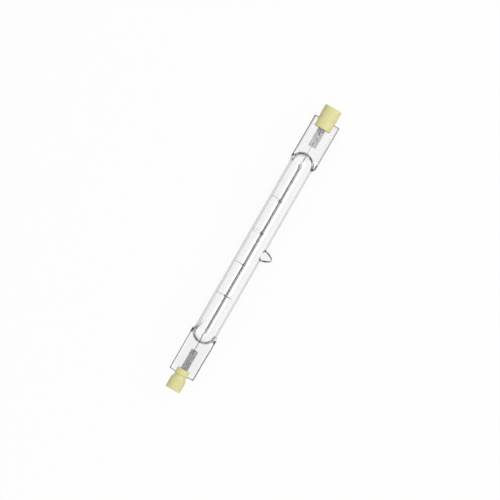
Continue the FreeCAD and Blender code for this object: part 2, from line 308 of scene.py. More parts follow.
QUARTZ, tree, shader = new_material("clear_quartz_painted_shade")
facing = add_node(tree, "LayerWeight", {"Blend": 0.5})["Facing"]
numbers = [add_node(tree, "Attribute", {}, attribute_name=name)["Fac"]
           for name in ("wall", "rim", "shade_marks", "press_and_shade")]
wall, rim, shade_marks, press_and_shade = numbers
grazing = blend_step(tree, facing, 0.34, 0.46, CLEAR, WALL_TONE)
by_wall = add_node(tree, "Mix", {"Factor": wall, "A": CLEAR, "B": grazing}, data_type="FLOAT")["Result"]
turned = multiply(tree, rim, blend_step(tree, facing, 0.02, 0.3, 0.0, 1.0))
by_rim = blend_step(tree, turned, 0.0, 1.0, 1.0, RIM_TONE)
by_mark = blend_step(tree, shade_marks, 0.0, 1.0, 1.0, MARK_TONE)
by_press = add_node(tree, "Math", {0: press_and_shade, 1: -PRESS_SHADE_LOSS, 2: 1.0}, operation="MULTIPLY_ADD")[0]
# The painted shade of all four numbers multiplies the quartz's clear colour.
tone = multiply(tree, by_wall, multiply(tree, by_rim, by_mark))
fill_inputs(tree, shader, {
    "Base Color": grey(tree, multiply(tree, tone, by_press)),
    "Roughness": blend_step(tree, press_and_shade, 0.0, 1.0, 0.0, PRESS_ROUGHNESS),
    "IOR": QUARTZ_BENDING,
    "Transmission Weight": 1.0,
})
print(QUARTZ.name, "with", len(tree.nodes), "nodes")

# %% [markdown]
# Metals
#
# Tungsten and molybdenum are drawn and heated, so they are dull and a little uneven. One function
# serves them all: a tone that wanders between two colours. The left foil and the right outer lead
# are darker than their fellows, and the outer leads have the violet of a thin oxide.

# %% Metals
METALLIC = 0.85


def make_metal(name, low, high, roughness, scale):
    """A dull metal between two tones, scale in features a metre."""
    material, tree, shader = new_material(name)
    colour = two_tones(tree, noise(tree, scale), low, high)
    fill_inputs(tree, shader, {"Base Color": colour, "Metallic": METALLIC, "Roughness": roughness})
    print(name, low, "to", high)
    return material


TUNGSTEN = make_metal("tungsten_wire", (0.5, 0.5, 0.503), (0.57, 0.57, 0.573), 0.5, 300.0)
SUPPORT = make_metal("support_wire", (0.16, 0.16, 0.163), (0.24, 0.24, 0.243), 0.45, 900.0)
INNER_LEAD = make_metal("molybdenum_wire", (0.2, 0.2, 0.215), (0.3, 0.295, 0.32), 0.4, 700.0)
OUTER_LEAD = {
    "left": make_metal("outer_lead_wire_left", (0.56, 0.54, 0.62), (0.7, 0.67, 0.76), 0.4, 500.0),
    "right": make_metal("outer_lead_wire_right", (0.34, 0.31, 0.42), (0.46, 0.43, 0.54), 0.4, 500.0),
}
FOIL = {
    "left": make_metal("molybdenum_foil_left", (0.37, 0.37, 0.375), (0.54, 0.54, 0.545), 0.5, 900.0),
    "right": make_metal("molybdenum_foil_right", (0.52, 0.52, 0.525), (0.69, 0.69, 0.695), 0.5, 900.0),
}
CONTACT = make_metal("nickel_contact", (0.52, 0.5, 0.46), (0.64, 0.62, 0.58), 0.35, 900.0)

# %% [markdown]
# Ceramic and cement
#
# The caps are steatite, a matt cream ceramic with a fine grain. A weak sheen stands for its
# powdery surface, which pales at grazing angles. The cement is coarser and greyer, with a deeper
# bump. Real relief would need far more faces for the same look.

# %% Ceramic and cement
CERAMIC, tree, shader = new_material("cream_steatite")
fill_inputs(tree, shader, {
    "Base Color": two_tones(tree, noise(tree, 420.0), (0.715, 0.68, 0.31), (0.78, 0.74, 0.38)),
    "Roughness": 0.62,
    "Specular IOR Level": 0.35,
    "Sheen Weight": 0.22,
    "Sheen Roughness": 0.4,
    "Sheen Tint": (0.85, 0.95, 1.0, 1),
    "Normal": bump(tree, noise(tree, 5200.0, 2.0, 0.5), 0.00002, 0.5),
})

CEMENT, tree, shader = new_material("capping_cement")
grain = noise(tree, 1800.0)
fill_inputs(tree, shader, {
    "Base Color": two_tones(tree, grain, (0.62, 0.59, 0.46), (0.78, 0.75, 0.62)),
    "Roughness": 0.85,
    "Normal": bump(tree, grain, 0.00004, 0.7),
})
print(CERAMIC.name, "and", CEMENT.name)

# %% [markdown]
# The envelope: the section of a pinch
#
# The envelope is one fused piece of quartz, blown, sealed and pressed. It could be cut from a
# tube, but here every section across the axis is a closed curve, given by its radius in each
# direction, and tube, pinch and tip join by a rounded maximum of their radii. A pinch's section
# is a flat bar with round rims.

# %% The bar
PLATE_HALF_THICK = 1.5
RIM_RADIUS = 1.1


def bar_radius(angle, half_width, half_thick, rim):
    """Distance from the axis to a flat bar with round rims, in each direction.

    It is half_thick over the sine on the flat faces, half_width over the cosine on the flat of a
    rim, and between them the far crossing of the ray with the rim's quarter circle.
    """
    c, s = np.abs(np.cos(angle)), np.abs(np.sin(angle))
    rim = np.minimum(rim, half_thick * 0.999)
    flat_y, flat_z = half_width - rim, half_thick - rim
    top = half_thick / np.maximum(s, 1e-9)
    side = half_width / np.maximum(c, 1e-9)
    b = flat_y * c + flat_z * s
    inside = b * b - (flat_y**2 + flat_z**2 - rim**2)
    corner = b + np.sqrt(np.maximum(inside, 0))
    return np.where(top * c <= flat_y, top, np.where(side * s <= flat_z, side, corner))


print("bar at 0, 45 and 90 degrees:", bar_radius(np.radians([0, 45, 90]), 6.0, 1.5, 1.1).round(2))

# %% [markdown]
# The envelope: the tube's ends
#
# Before it was pressed, each end of the tube drew in as a dome. A half round would be too slim at
# its shoulders, so it is a superellipse, squarer on the far side than on the tip's side, as the
# torch left it. A round corner is a quarter circle.

# %% Domes and round corners


def closing(u, start, reach, radius, power):
    """A tube that closes: radius (1 - t^power)^(1/power), t running from 0 to 1 over the reach."""
    t = np.clip((u - start) / reach, 0, 1)
    return radius * (1 - t**power) ** (1 / power)


def over_the_top(x, direction, values):
    """One value on the far side and one on the tip's side of each end, eased over the top."""
    far = np.where(x < 0, values["left"][0], values["right"][0])
    near = np.where(x < 0, values["left"][1], values["right"][1])
    return near + (far - near) * ease(np.cos(direction), -0.5, 0.5)


def drawn_in(x, end, radius):
    """How much a size shrinks near an end for a round corner: radius less the circle's height."""
    past = np.clip(x - (end - radius), 0, radius)
    return radius - np.sqrt(np.maximum(radius**2 - past**2, 0))


print("a dome of radius 1 and power 2.3, half way out:", closing(0.5, 0, 1, 1, 2.3).round(3))

# %% [markdown]
# The envelope: the exhaust tip
#
# The exhaust tip is what stays of the tube through which the lamp was pumped and filled: a blunt
# cone across the axis. Its radius seen from the axis has no simple formula, so each ray follows
# the cone's profile and leaves at the last height inside. The hollow at its root is found in the
# same way.

# %% Exhaust tip
FOOT_RADIUS, FOOT_HEIGHT = 2.45, 5.6
SHOULDER_RADIUS, SHOULDER_HEIGHT = 0.66, 9.2
FLANK_SWELL = 0.38


def cone_radius(height):
    """The tip's radius at each height above the axis.

    The flank is a straight line from foot to shoulder plus a parabola for its swell, and the end
    is a quarter circle.
    """
    part = (height - FOOT_HEIGHT) / (SHOULDER_HEIGHT - FOOT_HEIGHT)
    within = np.clip(part, 0, 1)
    flank = FOOT_RADIUS + (SHOULDER_RADIUS - FOOT_RADIUS) * part + FLANK_SWELL * within * (1 - within)
    past = height - (TIP_REACH - TIP_END_RADIUS)
    end = np.sqrt(np.maximum(TIP_END_RADIUS**2 - past**2, 0))
    return np.where(height < SHOULDER_HEIGHT, flank, np.where(height < TIP_REACH, end, 0))


def along_scale(height):
    """The tip is wider along the tube than across it, by a share that grows with height."""
    return 0.95 - 0.085 * np.clip(height - FOOT_HEIGHT, 0, 4)


def tip_reach(x, angle, profile, low, high):
    """How far a round boss along -y reaches in each direction, or 0 where no ray meets it.

    At height h along a ray, the ray is inside where profile(h)^2 - dx^2 - (h tan(psi))^2 is above
    0, psi being the ray's angle from the boss. The crossing after the last such height is found by
    a straight line between two samples, and divided by cos(psi).
    """
    psi = angle - np.pi
    out = np.zeros((len(x), len(angle)))
    rows = np.nonzero(np.abs(x - TIP_ALONG) < 4.5)[0]
    columns = np.nonzero(np.abs(psi) < 0.9)[0]
    heights = np.linspace(low, high, 500)
    radius = profile(heights)
    dx = (x[rows] - TIP_ALONG)[:, None, None] * along_scale(heights)
    across = heights[None, None, :] * np.tan(psi[columns])[None, :, None]
    depth = radius[None, None, :] ** 2 - dx**2 - across**2
    inside = depth > 0
    last = inside.shape[2] - 1 - np.argmax(inside[:, :, ::-1], axis=2)
    following = np.minimum(last + 1, len(heights) - 1)
    here = np.take_along_axis(depth, last[..., None], 2)[..., 0]
    beyond = np.take_along_axis(depth, following[..., None], 2)[..., 0]
    part = np.where(beyond < here, here / np.maximum(here - beyond, 1e-12), 0)
    height = heights[last] + np.clip(part, 0, 1) * (heights[1] - heights[0])
    reach = height / np.cos(psi[columns])[None, :]
    out[np.ix_(rows, columns)] = np.where(inside.any(axis=2), reach, 0)
    return out


print("tip's radius at its foot", FOOT_RADIUS, "and at its shoulder", SHOULDER_RADIUS, "mm")

# %% [markdown]
# The envelope: the outer surface
#
# Dome and bar are joined first, then the tip. The bar's half width eases out from the tube's own,
# and differs between the far side and the tip's side, because hand-set jaws squeeze out more
# glass on one side. The fillet grows where the tube runs out.

# %% Outer surface
DOME_START = 42.0
DOME_REACH = 5.7
DOME_POWER = {"left": (2.3, 2.0), "right": (2.3, 1.8)}
PINCH_UP = {"left": 6.02, "right": 5.86}
PINCH_DOWN = {"left": 6.03, "right": 6.56}
PINCH_END = {"left": 63.75, "right": 64.4}
CORNER_RADIUS = 0.45
# Extra half width beside the shoulder, on the far side and on the tip's side.
SHOULDER_EXTRA = {"left": (0.0, 0.15), "right": (0.08, -0.1)}
SPREAD_FROM, SPREAD_TO = 40.9, 43.5
PLATE_FROM = 40.5
HIDDEN_HALF_WIDTH, HIDDEN_HALF_THICK = 4.6, 1.0
FILLET, FILLET_GAIN = 0.55, 1.0
TIP_FILLET = 0.35


def pinch_radius(side, u, direction):
    """The bar of one pinch at distance u from the middle, hidden inside the tube further in.

    Half width = hidden + (its own - hidden) times the step over the spread, less the round corner.
    """
    up = PINCH_UP[side] + SHOULDER_EXTRA[side][0] * (1 - ease(u, 46, 56))
    down = PINCH_DOWN[side] + SHOULDER_EXTRA[side][1] * (1 - ease(u, 48, 55))
    half = np.where(np.cos(direction) > 0, up[:, None], down[:, None])
    grow = ease(u, SPREAD_FROM, SPREAD_TO)[:, None]
    corner = drawn_in(u, PINCH_END[side], CORNER_RADIUS)[:, None]
    width = HIDDEN_HALF_WIDTH + (half - HIDDEN_HALF_WIDTH) * grow - corner
    thick = PLATE_HALF_THICK - drawn_in(u, PINCH_END[side], RIM_RADIUS)
    thick = np.where(u > PLATE_FROM, thick, HIDDEN_HALF_THICK)[:, None]
    return bar_radius(direction, width, thick, np.minimum(RIM_RADIUS, thick))


def outside_radius(x, angle):
    """The outer surface: the rounded maximum of dome, bar and tip at each station and direction."""
    across = np.abs(x)[:, None]
    direction = angle[None, :]
    power = over_the_top(x[:, None], direction, DOME_POWER)
    tube = closing(across, DOME_START, DOME_REACH, TUBE_RADIUS, power)
    plate = np.zeros_like(tube)
    for side, mask in (("left", x < 0), ("right", x >= 0)):
        plate[mask] = pinch_radius(side, np.abs(x[mask]), direction)
    fillet = FILLET + FILLET_GAIN * ease(across, SPREAD_FROM, SPREAD_TO) * (1 - ease(across, 44, 46))
    tip = tip_reach(x, angle, cone_radius, 4.5, TIP_REACH)
    return smooth_max(smooth_max(tube, plate, fillet), tip, TIP_FILLET)


print("pinches end at", PINCH_END, "mm from the middle")

# %% [markdown]
# The envelope: the sealed space
#
# The second surface is the hollow: a dome, joined to the thin flat slot that the press left. The
# slot flares towards the rims and ends in an arch, whose dark curve the eye finds first. A
# hyperbola gives it: round at its top and nearly straight further back, like the limbs in the
# real glass.

# %% Sealed space
BORE_DOME_START = 41.6
BORE_DOME_REACH = 5.1
BORE_EXTRA_POWER = 0.2
CAVITY_END = {"left": 47.1, "right": 47.15}
# Slope and bluntness of the arch, on the far side and on the tip's side.
ARCH = {"left": ((1.3, 1.2), (1.5, 1.35)), "right": ((1.47, 0.42), (0.85, 1.9))}
FLARE = {"left": (5.5, 5.5), "right": (5.5, 4.4)}
FLARE_FROM, FLARE_TO, FLARE_ROOT = 39.9, 43.6, 4.2
SLOT_HALF_THICK = 0.8
ROOT_HEIGHT, ROOT_RADIUS, ROOT_SLOPE = 7.4, 1.5, 1.2 / 2.88
SLOT_FILLET, ROOT_FILLET = 0.35, 0.5


def slot_radius(side, u, direction):
    """The flat slot of one end.

    Its half width is the smaller of the flare and of the arch, slope sqrt(d d + 2 bluntness d),
    d being the distance back from the arch's top.
    """
    back = np.maximum(CAVITY_END[side] - u, 0)
    halves = []
    for (slope, blunt), ear in zip(ARCH[side], FLARE[side]):
        flare = FLARE_ROOT + (ear - FLARE_ROOT) * ease(u, FLARE_FROM, FLARE_TO)
        arch = slope * np.sqrt(back**2 + 2 * blunt * back)
        halves.append(np.maximum(np.minimum(-smooth_max(-flare, -arch, 0.2), arch), 1e-3))
    half = np.where(np.cos(direction) > 0, halves[0][:, None], halves[1][:, None])
    thin = SLOT_HALF_THICK - drawn_in(u, CAVITY_END[side], SLOT_HALF_THICK)
    thin = np.maximum(np.minimum(thin[:, None], half), 1e-3)
    return bar_radius(direction, half, thin, 0.9 * thin)


def root_radius(height):
    """The cone of the hollow at the tip's root, which ends below the tip's solid part."""
    return np.where(height < ROOT_HEIGHT, ROOT_RADIUS - (height - BORE_RADIUS) * ROOT_SLOPE, 0)


def inside_radius(x, angle):
    """The sealed space: the rounded maximum of dome, slot and the hollow at the tip's root."""
    u = np.abs(x)
    direction = angle[None, :]
    power = over_the_top(x[:, None], direction, DOME_POWER) + BORE_EXTRA_POWER
    tube = closing(u[:, None], BORE_DOME_START, BORE_DOME_REACH, BORE_RADIUS, power)
    slot = np.zeros_like(tube)
    for side, mask in (("left", x < 0), ("right", x >= 0)):
        slot[mask] = slot_radius(side, u[mask], direction)
    root = tip_reach(x, angle, root_radius, 3.6, ROOT_HEIGHT + 0.05)
    return smooth_max(smooth_max(tube, slot, SLOT_FILLET), root, ROOT_FILLET)


print("the sealed space ends at", CAVITY_END, "mm from the middle")

# %% [markdown]
# The envelope: where the points go
#
# One grid serves the round tube and the flat pinch. Even angles would leave the pinch's rims with
# hardly any points, so a bit more than half of the weight goes to even distances round the pinch.
# Stations stand close where the shape changes. The piece stays just under 200,000 triangles.

# %% Directions and stations
DIRECTIONS = 200


def stations(places, counts):
    """Stations along x: from each place to the next in so many even steps."""
    return np.interp(np.arange(sum(counts) + 1), np.cumsum([0, *counts]), places)


def round_end(end, radius, count, sign):
    """Stations that crowd towards an end as the sine of even angles does."""
    t = np.linspace(0, np.pi / 2, count + 1)[1:]
    run = sign * (end - radius + radius * np.sin(t))
    return run if sign > 0 else run[::-1]


# Directions round the axis, at even steps of a weighted sum of distance and of angle.
fine = np.linspace(0, 2 * np.pi, 8001)
r = bar_radius(fine, 6.1, PLATE_HALF_THICK, RIM_RADIUS)
step = np.hypot(np.diff(r * np.cos(fine)), np.diff(r * np.sin(fine)))
density = 0.55 * step / step.sum() + 0.45 / len(step)
total = np.concatenate([[0], np.cumsum(density)])
angles = np.interp((np.arange(DIRECTIONS) + 0.5) / DIRECTIONS, total / total[-1], fine)

along = np.concatenate([
    round_end(PINCH_END["left"], CORNER_RADIUS, 12, -1),
    stations(
        (CORNER_RADIUS - PINCH_END["left"], -50, -48, -40, -5, -3.9, 2.2, 3.4, 40, 48, 50,
         PINCH_END["right"] - CORNER_RADIUS),
        (16, 8, 60, 12, 6, 72, 6, 12, 60, 8, 16),
    ),
    round_end(PINCH_END["right"], CORNER_RADIUS, 12, 1),
])
left_end, right_end = CAVITY_END["left"], CAVITY_END["right"]
arch_steps = 4.0 * (1 - np.cos(np.linspace(0, np.pi / 2, 44)[1:])) + 0.0005
inner_along = np.unique(np.round(np.concatenate([
    arch_steps - left_end,
    stations((4.1 - left_end, -39, -4, 2.3, 39, right_end - 4.1), (18, 8, 44, 8, 18)),
    right_end - arch_steps[::-1],
]), 5))
print(len(along), "stations outside,", len(inner_along), "inside,", len(angles), "directions")

# %% [markdown]
# The envelope: one closed mesh
#
# Both surfaces go into one mesh, and the inner one faces the hollow, which is how a ray tracer
# knows where glass begins and ends. Each is closed at its ends by a fan of triangles.

# %% The quartz envelope


def skin(x, radius, angle):
    """Points (x, r cos(angle), r sin(angle)) for a radius at each station and direction."""
    return np.stack([x[:, None] + 0 * radius, radius * np.cos(angle), radius * np.sin(angle)], axis=-1)


outer = skin(along, outside_radius(along, angles), angles)
inner = skin(inner_along, inside_radius(inner_along, angles), angles)
rows, columns, inner_rows = len(along), len(angles), len(inner_along)
inner_start = rows * columns
hub = inner_start + inner_rows * columns
ring = np.arange(columns)
points = np.concatenate([
    outer.reshape(-1, 3),
    inner.reshape(-1, 3),
    [outer[0].mean(axis=0), outer[-1].mean(axis=0), [inner_along[0], 0, 0], [inner_along[-1], 0, 0]],
])
faces = [
    grid_faces(rows, columns, flip=True),
    grid_faces(inner_rows, columns, start=inner_start),
    fan_faces(hub, ring, flip=True),
    fan_faces(hub + 1, ring + (rows - 1) * columns),
    fan_faces(hub + 2, ring + inner_start),
    fan_faces(hub + 3, ring + inner_start + (inner_rows - 1) * columns, flip=True),
]
envelope = piece("quartz_envelope", (points, faces), QUARTZ, "envelope")

# %% [markdown]
# The envelope: painted shade on the glass
#
# The four numbers of painted shade are worked out on the outer grid, so they hold from any side.
# The rim's shade is high where a pinch curves away from its flat faces. The shade at a knot, where
# the jaws folded the glass, is a soft stroke between two places.

# %% The numbers for each point
u = np.abs(outer[..., 0])
height = -outer[..., 1]
at_left = outer[..., 0] < 0
far_side = outer[..., 1] > 0


def unit(vectors):
    """Each vector over its own length."""
    return vectors / np.maximum(np.linalg.norm(vectors, axis=-1, keepdims=True), 1e-12)


normal = unit(np.cross(np.gradient(outer, axis=0), np.gradient(outer, axis=1)))


def paint(obj, name, values):
    """Keep one number for each outer point, and 0 for the rest, for the material to read."""
    layer = obj.data.attributes.new(name, "FLOAT", "POINT")
    rest = np.zeros(len(obj.data.vertices) - values.size)
    layer.data.foreach_set("value", np.concatenate([values.reshape(-1), rest]).astype(np.float32))
    print(name, "from", round(float(values.min()), 2), "to", round(float(values.max()), 2))


def stroke(side, start, stop, half_start, half_stop):
    """A soft stroke between two places (u, y) of one end: 1 within its half width, then eased to 0.

    The distance is to the nearest point of the line between them.
    """
    run = np.subtract(stop, start)
    du, dy = u - start[0], outer[..., 1] - start[1]
    part = np.clip((du * run[0] + dy * run[1]) / (run @ run), 0, 1)
    away = np.hypot(du - part * run[0], dy - part * run[1])
    half = half_start + (half_stop - half_start) * part
    return (1 - ease(away, half - 0.2, half + 0.25)) * (at_left == (side == "left"))


# Strength of the rims' painted shade at the left and the right: on the far side, then on the tip's
# side.
RIM_SHADE_STRENGTH = ((0.85, 1.0), (1.0, 0.8))
# Painted shade on the tip's flanks: on the left of its middle, then on the right.
FLANK_SHADE = (0.4, 0.18)

# The rims' painted shade: 1 less a step over the normal's z, high where they curve away from flat
# faces.
left, right = RIM_SHADE_STRENGTH
strength = np.where(at_left, np.where(far_side, *left), np.where(far_side, *right))
at_edge = np.maximum(ease(np.abs(outer[..., 1]), 5.0, 5.5), ease(u, 48.0, 48.5))
rims = (1 - ease(np.abs(normal[..., 2]), 0.83, 0.985)) * ease(u, 43.0, 45.0) * strength * at_edge

# The flanks' painted shade is a step over the distance from the tip's middle, in shares of its radius.
off = (outer[..., 0] - TIP_ALONG) * along_scale(height) / np.maximum(cone_radius(height), 0.4)
on_tip = ease(height, 5.0, 5.8) * (np.abs(off) < 1.6) * (1 - 0.9 * ease(height, 7.6, 9.0))
flank_shade = on_tip * ease(np.abs(off), 0.3, 0.75) * np.where(off < 0, *FLANK_SHADE)
print("rims up to", rims.max().round(2), "and the tip's flanks up to", flank_shade.max().round(2))

# %% [markdown]
# Painted shade at knots and folds
#
# Each stroke of painted shade has its tone, its end of the lamp, two places in millimetres from the
# middle and from the axis, and its half width at each. A painted texture would do the same, but a
# stroke can be moved by one number.

# %% Knots, folds and the painted numbers
# Painted shade at the knots by the shoulders, where the jaws folded the glass, and along the folds.
KNOT_SHADES = [
    (1.0, "left", (45.1, 5.72), (43.6, 5.66), 0.42, 0.5),
    (0.7, "left", (43.3, 5.15), (39.9, 3.9), 0.42, 0.12),
    (0.95, "left", (45.0, -5.75), (43.9, -5.85), 0.4, 0.42),
    (0.6, "left", (44.4, -5.0), (42.9, -4.7), 0.22, 0.2),
    (0.3, "right", (41.8, 4.72), (43.1, 4.78), 0.35, 0.38),
    (0.5, "right", (43.9, 5.7), (44.6, 4.5), 0.45, 0.3),
    (0.35, "right", (44.6, 4.5), (46.6, 1.6), 0.3, 0.25),
    (1.0, "right", (42.9, -6.1), (44.7, -6.1), 0.5, 0.55),
]
# Painted shade along the limbs of the left arch.
ARCH_LIMB_SHADES = [
    (0.22, "left", (45.4, 4.0), (46.8, 1.8), 0.15, 0.3),
    (0.3, "left", (47.1, 1.2), (47.1, -1.4), 0.3, 0.3),
    (0.22, "left", (46.8, -2.2), (45.1, -4.2), 0.3, 0.2),
]
# Painted shade in runs along the pinches' edges.
EDGE_RUN_SHADES = [
    (0.22, "left", (63.2, 5.65), (54.2, 5.7), 0.2, 0.15),
    (0.34, "left", (62.0, -5.6), (49.2, -5.75), 0.3, 0.3),
    (0.25, "right", (48.6, 5.5), (62.4, 5.45), 0.15, 0.15),
    (0.5, "right", (62.4, 5.45), (63.2, 5.45), 0.2, 0.2),
]
# Painted shade on the far wall of the tube, and on the pressed faces, stronger at the right.
FAR_WALL_SHADE = 0.14
STRONGEST = 1.4
PRESS_SHADE_STRENGTH = {"left": 0.45, "right": 0.9}

stroke_shade = sum(tone * stroke(*place) for tone, *place in KNOT_SHADES + ARCH_LIMB_SHADES + EDGE_RUN_SHADES)
far_wall_shade = FAR_WALL_SHADE * ease(outer[..., 1], 0.8, 3.6) * (1 - ease(u, 41.0, 43.5))
pressed_and_shaded = ease(u, 44.8, 47.0) * np.where(at_left, PRESS_SHADE_STRENGTH["left"], PRESS_SHADE_STRENGTH["right"])
# The four numbers of painted shade, kept on the envelope for the quartz to read.
paint(envelope, "wall", 1 - ease(u, 41.0, 43.0))
paint(envelope, "rim", np.clip(rims + flank_shade, 0, STRONGEST))
paint(envelope, "shade_marks", np.clip(stroke_shade + far_wall_shade, 0, STRONGEST))
paint(envelope, "press_and_shade", pressed_and_shaded)

# %% [markdown]
# Wires
#
# A wire is a circle carried along a path. A Blender curve with a bevel would do it too, but
# arrays can be measured as they are made. Each path has one fixed direction that it never runs
# along. That direction, less its part along the path, is the circle's first, and the second is
# square to both.

# %% Sweep
ALONG_X = (1.0, 0.0, 0.0)
ALONG_Z = (0.0, 0.0, 1.0)


def sweep(path, radius, sides, fixed):
    """A closed round tube: path + radius (cos(turn) first + sin(turn) second), with flat ends."""
    path = np.asarray(path, float)
    tangent = unit(np.gradient(path, axis=0))
    first = unit(np.asarray(fixed) - tangent * (tangent @ np.asarray(fixed))[:, None])
    second = np.cross(tangent, first)
    turn = np.linspace(0, 2 * np.pi, sides, endpoint=False)[None, :, None]
    circle = np.cos(turn) * first[:, None] + np.sin(turn) * second[:, None]
    thickness = np.broadcast_to(radius, (len(path),))[:, None, None]
    rings = path[:, None] + thickness * circle
    count = len(path) * sides
    points = np.concatenate([rings.reshape(-1, 3), path[:1], path[-1:]])
    faces = [
        grid_faces(len(path), sides, flip=True),
        fan_faces(count, np.arange(sides), flip=True),
        fan_faces(count + 1, np.arange(sides) + count - sides),
    ]
    return points, faces


straight = sweep([(0, 0, 0), (0, 1, 0), (0, 2, 0)], 0.5, 8, ALONG_X)
print("a rod of radius 0.5 and length 2 holds", round(abs(volume(*straight)), 3))

# %% [markdown]
# The filament
#
# The filament is one close coil of tungsten on the axis. Only a grey line shows from a step away,
# so it could be a texture on a rod, but real turns give its edge and its shadow the right
# softness. The last turn at the left hangs loose, and the right end is lifted by its sleeve.

# %% The filament
FILAMENT_END = {"left": 41.95, "right": 42.2}
WIRE_RADIUS = 0.09
COIL_RADIUS = 0.65 - WIRE_RADIUS
TURNS = 376
STEPS_A_TURN = 12
LOOSE_RUN, LOOSE_STEPS, LOOSE_SWELL = 0.8, 24, 0.09
LIFT, LIFT_FROM, LIFT_TO = 0.3, 39.8, 42.2

t = np.linspace(0, 1, TURNS * STEPS_A_TURN + 1)
loose = np.linspace(-2 * np.pi, 0, LOOSE_STEPS, endpoint=False)
phase = np.concatenate([loose, 2 * np.pi * TURNS * t])
x = np.concatenate([
    -FILAMENT_END["left"] + loose * LOOSE_RUN / (2 * np.pi),
    -FILAMENT_END["left"] + t * (FILAMENT_END["left"] + FILAMENT_END["right"]),
])
rise = LIFT * ease(x, LIFT_FROM, LIFT_TO)
coil = np.stack([x, rise + COIL_RADIUS * np.cos(phase), COIL_RADIUS * np.sin(phase)], axis=-1)
at_loose_end = 1 - ease(x, -FILAMENT_END["left"] - 0.4, -FILAMENT_END["left"] + 0.1)
shape = sweep(coil, WIRE_RADIUS + LOOSE_SWELL * at_loose_end, 6, ALONG_X)
piece("filament_coil", shape, TUNGSTEN, "filament")
print("pitch", round((FILAMENT_END["left"] + FILAMENT_END["right"]) / TURNS, 3), "mm")

# %% [markdown]
# The supports
#
# So long a coil would sag when hot, so four wires hold it off the glass: each a few turns that
# grip the coil, a spoke and an open ring that springs against the bore. A plain ring would miss
# the grip, which shows as a darker stretch. Bent by hand, no two are alike.

# %% The supports
SUPPORT_WIRE = 0.042
GRIP_WIRE = 0.085
TAIL_WIRE = 0.12
GRIP_RADIUS = COIL_RADIUS + WIRE_RADIUS + GRIP_WIRE
GRIP_LIFT = 0.18
GRIP_TURNS = 3
SPOKE_BEND = 0.12
# Place, arc of the ring in degrees, lean of the ring, length of the grip, length of a loose tail.
SUPPORTS = {
    1: (-24.5, 225, 0.5, 0.6, 2.7),
    2: (-8.4, 190, -0.1, -0.4, 0),
    3: (6.85, 185, 1.2, 1.2, 0),
    4: (24.25, 185, 0.2, -1.3, 0),
}


def support_path(x, arc, lean, span, tail):
    """Points and radii of one support: helix, spoke and arc of a circle, end to end."""
    grip = GRIP_RADIUS + GRIP_LIFT
    ring = BORE_RADIUS - SUPPORT_WIRE - 0.02
    half = np.radians(arc / 2)
    a = np.linspace(-2 * np.pi * GRIP_TURNS, 0, 60)
    advance = x - span * a / (2 * np.pi * GRIP_TURNS)
    turns = np.stack([advance, GRIP_LIFT + grip * np.cos(a - half), grip * np.sin(a - half)], -1)
    r = np.linspace(grip, ring, 9)[1:-1]
    part = (r - grip) / (ring - grip)
    bend = -half + SPOKE_BEND * part
    spoke = np.stack([x + 0 * r, GRIP_LIFT * (1 - part) + r * np.cos(bend), r * np.sin(bend)], -1)
    b = np.linspace(-half + SPOKE_BEND, half, 64)
    hoop = np.stack([x + lean * ease(b, -0.35, 0.35), ring * np.cos(b), ring * np.sin(b)], -1)
    runs = [turns, spoke, hoop]
    if tail:
        s = np.linspace(1, 0, 8)[:-1]
        runs.insert(0, turns[0] + s[:, None] * np.array([-0.5, 0.5 - tail, 0.9]))
    path = np.concatenate(runs)
    on_coil = np.hypot(path[:, 1] - GRIP_LIFT, path[:, 2]) < grip + 0.05
    on_tail = path[:, 1] < -GRIP_RADIUS - 0.1
    return path, np.where(on_tail, TAIL_WIRE, np.where(on_coil, GRIP_WIRE, SUPPORT_WIRE))


for number, spec in SUPPORTS.items():
    shape = sweep(*support_path(*spec), 8, ALONG_X)
    piece(f"support_wire_{number}", shape, SUPPORT, f"filament_support_{number}")

# %% [markdown]
# The inner leads
#
# A molybdenum wire leaves the coil at each end, passes through the glass and lies flat on the
# foil. A spline runs through a few points that it passes, because a Bezier's handles would have
# to be set one by one.

# %% The inner leads
FOIL_TOP = -0.185
FOILS = {"left": (51.5, 61.6, 1.65), "right": (51.3, 62.4, 1.77)}
SIGN = {"left": -1, "right": 1}
LEAD_HEIGHT = {"left": 0.25, "right": 0.2}
LEAD_ON_FOIL = FOIL_TOP + 0.13
LEAD_RADIUS = {"left": (0.2, 0.14), "right": (0.16, 0.09)}
LEAD_THINS_FROM, LEAD_THINS_TO = 46, 47.5
WELD_LENGTH = 1.9
# Where each lead passes on its way to the glass: distance from the middle, and y.
LEAD_BEFORE_GLASS = {
    "left": [(42.7, 0.45), (43.45, 0.52), (45.0, 0.4), (46.6, 0.28)],
    "right": [(41.7, 0.25), (42.7, 0.25), (46.0, LEAD_HEIGHT["right"])],
}
IN_GLASS = (49, -0.04)


def spline(knots, count):
    """A path through a few points: between b and c, Catmull and Rom's cubic
    (2b + (c - a) t + (2a - 5b + 4c - d) t^2 + (3b - a - 3c + d) t^3) / 2."""
    k = np.asarray(knots, float)
    k = np.concatenate([[2 * k[0] - k[1]], k, [2 * k[-1] - k[-2]]])
    a, b, c, d = k[:-3, None], k[1:-2, None], k[2:-1, None], k[3:, None]
    t = np.linspace(0, 1, count, endpoint=False)[None, :, None]
    cubic = 2 * b + (c - a) * t + (2 * a - 5 * b + 4 * c - d) * t**2 + (3 * b - a - 3 * c + d) * t**3
    return np.concatenate([0.5 * cubic.reshape(-1, k.shape[1]), k[-2:-1]])


